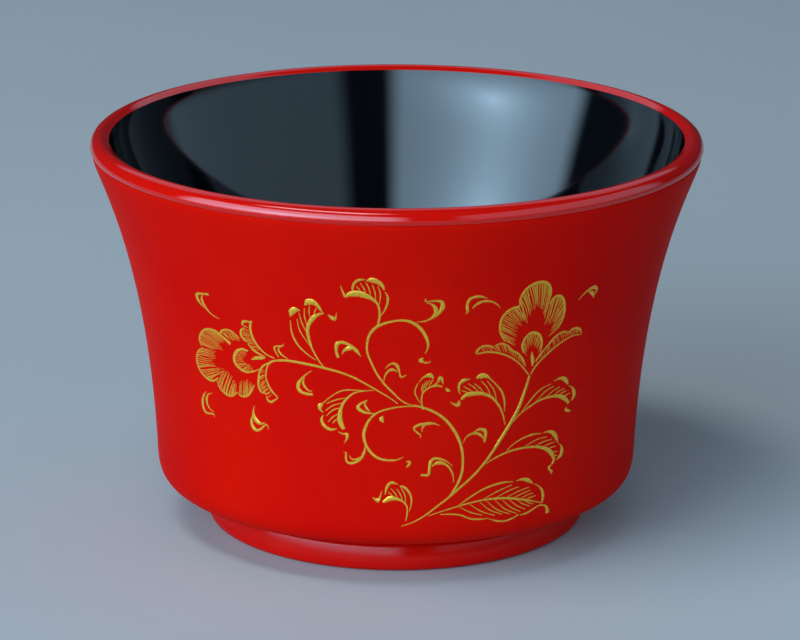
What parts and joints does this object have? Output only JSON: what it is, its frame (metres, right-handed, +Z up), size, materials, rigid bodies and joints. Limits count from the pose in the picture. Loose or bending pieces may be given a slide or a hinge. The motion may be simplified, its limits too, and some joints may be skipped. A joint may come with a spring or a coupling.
{
  "type": "lacquer bowl",
  "caption": "Small flared lacquer bowl with a rounded rim bead, ring foot, black inside, red outside and a raised gold flower scroll on its front.",
  "frame": {"origin": "middle of the foot's sole, on the bowl's turning axis", "axes": "+Z up along the turning axis, -Y towards the painted front, +X to the right seen from the front"},
  "size_m": [0.1216, 0.1216, 0.0791],
  "materials": {
    "turned_wood": "turned, under lacquer",
    "foot_wood": "turned, under lacquer",
    "red_lacquer": "polished red lacquer",
    "rim_red_lacquer": "polished red lacquer",
    "foot_red_lacquer": "polished red lacquer",
    "black_lacquer": "polished black lacquer",
    "recess_black_lacquer": "satin black lacquer",
    "gold_paint": "brushed-on gold powder in lacquer, slightly raised"
  },
  "bodies": {
    "root": {"bowl_core": "turned_wood", "foot_red_coat": "foot_red_lacquer", "foot_ring": "foot_wood", "gold_curl_1": "gold_paint", "gold_curl_10": "gold_paint", "gold_curl_11": "gold_paint", "gold_curl_12": "gold_paint", "gold_curl_13": "gold_paint", "gold_curl_14": "gold_paint", "gold_curl_15": "gold_paint", "gold_curl_2": "gold_paint", "gold_curl_3": "gold_paint", "gold_curl_4": "gold_paint", "gold_curl_5": "gold_paint", "gold_curl_6": "gold_paint", "gold_curl_7": "gold_paint", "gold_curl_8": "gold_paint", "gold_curl_9": "gold_paint", "gold_dab_drop": "gold_paint", "gold_dab_lower": "gold_paint", "gold_dab_upper": "gold_paint", "gold_leaf_bottom": "gold_paint", "gold_leaf_centre": "gold_paint", "gold_leaf_left_down": "gold_paint", "gold_leaf_left_up": "gold_paint", "gold_leaf_low_left": "gold_paint", "gold_leaf_right_inner": "gold_paint", "gold_leaf_right_middle": "gold_paint", "gold_leaf_right_outer": "gold_paint", "gold_leaf_top": "gold_paint", "gold_left_flower_heart": "gold_paint", "gold_left_flower_lower_sepal": "gold_paint", "gold_left_flower_petal_1": "gold_paint", "gold_left_flower_petal_2": "gold_paint", "gold_left_flower_petal_3": "gold_paint", "gold_left_flower_petal_4": "gold_paint", "gold_left_flower_petal_5": "gold_paint", "gold_left_flower_pistil": "gold_paint", "gold_left_flower_upper_sepal": "gold_paint", "gold_left_stem": "gold_paint", "gold_lower_tendril": "gold_paint", "gold_main_stem": "gold_paint", "gold_right_flower_heart": "gold_paint", "gold_right_flower_left_sepal": "gold_paint", "gold_right_flower_petal_1": "gold_paint", "gold_right_flower_petal_2": "gold_paint", "gold_right_flower_petal_3": "gold_paint", "gold_right_flower_pistil": "gold_paint", "gold_right_flower_right_sepal": "gold_paint", "gold_scroll_stem": "gold_paint", "gold_upper_tendril": "gold_paint", "inner_black_coat": "black_lacquer", "outer_red_coat": "red_lacquer", "recess_black_coat": "recess_black_lacquer", "rim_red_coat": "rim_red_lacquer"}
  },
  "joints": []
}
